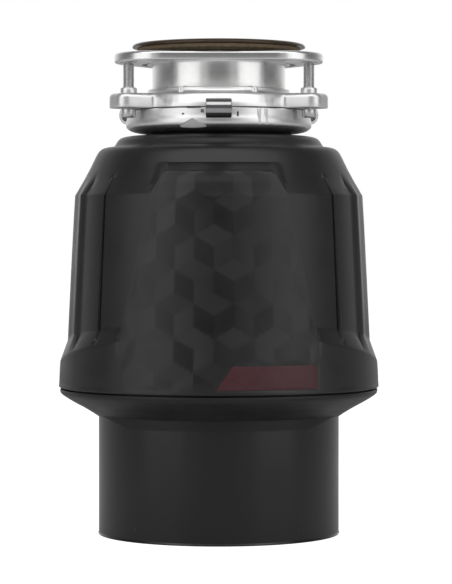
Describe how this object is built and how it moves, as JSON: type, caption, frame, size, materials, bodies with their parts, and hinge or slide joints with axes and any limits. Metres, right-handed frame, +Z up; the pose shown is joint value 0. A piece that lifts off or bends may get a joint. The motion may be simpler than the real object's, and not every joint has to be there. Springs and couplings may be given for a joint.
{
  "type": "kitchen garbage disposal",
  "caption": "Food waste disposer with black shell over a round motor can, grinding chamber, rear outlets and a locking sink mount with adjusting screws.",
  "frame": {"origin": "centre of the bounding box on the plane of the base, on the motor axis", "axes": "+Z up along the motor axis, -Y the front with the badge, +X to the right seen from the front"},
  "size_m": [0.2102, 0.2102, 0.3211],
  "materials": {
    "polished_steel": "polished stainless with fine circular brushing",
    "cast_zinc": "tumbled die casting, soft satin",
    "spring_steel": "drawn wire and ground bar, bright",
    "zinc_steel": "zinc plated, semi-bright",
    "stainless": "pressed stainless, drawn satin",
    "cast_aluminium": "as-cast, fine grain",
    "laminations": "stacked steel laminations, oxide blue-grey",
    "copper": "enamelled copper wire",
    "bronze": "oil-filled sintered bronze",
    "black_rubber": "moulded black rubber, matte",
    "fiber": "pressed tan fibre sheet",
    "shell_black": "satin black moulding with a fine spark texture",
    "can_black": "satin black enamel with faint orange peel",
    "badge_maroon": "dark maroon satin label, blank",
    "dark_plastic": "dark moulded plastic",
    "cream_plastic": "cream moulded switch plastic",
    "red_plastic": "red moulded button",
    "foam": "charcoal acoustic foam",
    "green_paint": "green plated earth screw"
  },
  "bodies": {
    "disposer": {"mounting_gasket": "black_rubber", "neck_boot": "black_rubber", "hopper": "stainless", "hopper_gasket": "black_rubber", "hopper_bolts": "zinc_steel", "dishwasher_inlet": "dark_plastic", "inlet_plug": "dark_plastic", "trim_shell": "shell_black", "badge_plate": "badge_maroon", "lower_collar": "shell_black", "sound_insulation": "foam", "grind_housing": "cast_aluminium", "discharge_gasket": "black_rubber", "shredder_ring": "stainless", "upper_end_bell": "cast_aluminium", "shaft_seal": "black_rubber", "upper_bearing": "bronze", "stator_core": "laminations", "stator_windings": "copper", "lower_end_bell": "cast_aluminium", "lower_bearing": "bronze", "through_bolts": "zinc_steel", "motor_can": "can_black", "bottom_cover": "zinc_steel", "cover_screws": "zinc_steel", "ground_screw": "green_paint", "cable_bush": "dark_plastic", "overload_protector": "dark_plastic", "start_switch": "cream_plastic", "reset_spring": "spring_steel"},
    "sink_mount": {"sink_flange": "polished_steel", "fiber_gasket": "fiber", "backup_flange": "cast_zinc", "upper_mounting_ring": "cast_zinc", "snap_ring": "spring_steel"},
    "screw_left": {"mounting_screw_l": "zinc_steel"},
    "screw_right": {"mounting_screw_r": "zinc_steel"},
    "screw_back": {"mounting_screw_b": "zinc_steel"},
    "lock_ring": {"lower_mounting_ring": "polished_steel"},
    "baffle": {"splash_baffle": "black_rubber"},
    "rotor": {"motor_shaft": "spring_steel", "rotor_core": "laminations", "rotor_cage": "cast_aluminium", "switch_actuator": "cream_plastic", "turntable": "stainless", "lug_pins": "stainless", "turntable_nut": "zinc_steel"},
    "lug_a": {"swivel_lug_a": "stainless"},
    "lug_b": {"swivel_lug_b": "stainless"},
    "button": {"reset_button": "red_plastic"}
  },
  "joints": [
    {"name": "lock_ring_turn", "type": "hinge", "parent": "disposer", "child": "lock_ring", "pos_m": [0, 0, 0.27], "axis": [0, 0, 1], "range_deg": [0, 35]},
    {"name": "mount_rise", "type": "slide", "parent": "disposer", "child": "sink_mount", "axis": [0, 0, 1], "range_m": [0, 0.003]},
    {"name": "screw_left_back_out", "type": "slide", "parent": "sink_mount", "child": "screw_left", "axis": [0, 0, -1], "range_m": [0, 0.0075]},
    {"name": "screw_right_back_out", "type": "slide", "parent": "sink_mount", "child": "screw_right", "axis": [0, 0, -1], "range_m": [0, 0.0075]},
    {"name": "screw_back_back_out", "type": "slide", "parent": "sink_mount", "child": "screw_back", "axis": [0, 0, -1], "range_m": [0, 0.0075]},
    {"name": "baffle_lift_out", "type": "slide", "parent": "disposer", "child": "baffle", "axis": [0, 0, 1], "range_m": [0, 0.075]},
    {"name": "rotor_spin", "type": "hinge", "parent": "disposer", "child": "rotor", "pos_m": [0, 0, 0.14], "axis": [0, 0, 1], "continuous": true},
    {"name": "lug_a_swivel", "type": "hinge", "parent": "rotor", "child": "lug_a", "pos_m": [0.04, 0, 0.1496], "axis": [0, 0, 1], "continuous": true},
    {"name": "lug_b_swivel", "type": "hinge", "parent": "rotor", "child": "lug_b", "pos_m": [-0.04, 0, 0.1496], "axis": [0, 0, 1], "continuous": true},
    {"name": "reset_push", "type": "slide", "parent": "disposer", "child": "button", "axis": [0, 0, 1], "range_m": [0, 0.003], "stiffness_N_per_m": 400, "springref_m": -0.003, "deforming": ["reset_spring"]}
  ],
  "couplings": [
    {"joint": "mount_rise", "follows": "lock_ring_turn", "m_per_rad": 0.0049}
  ]
}
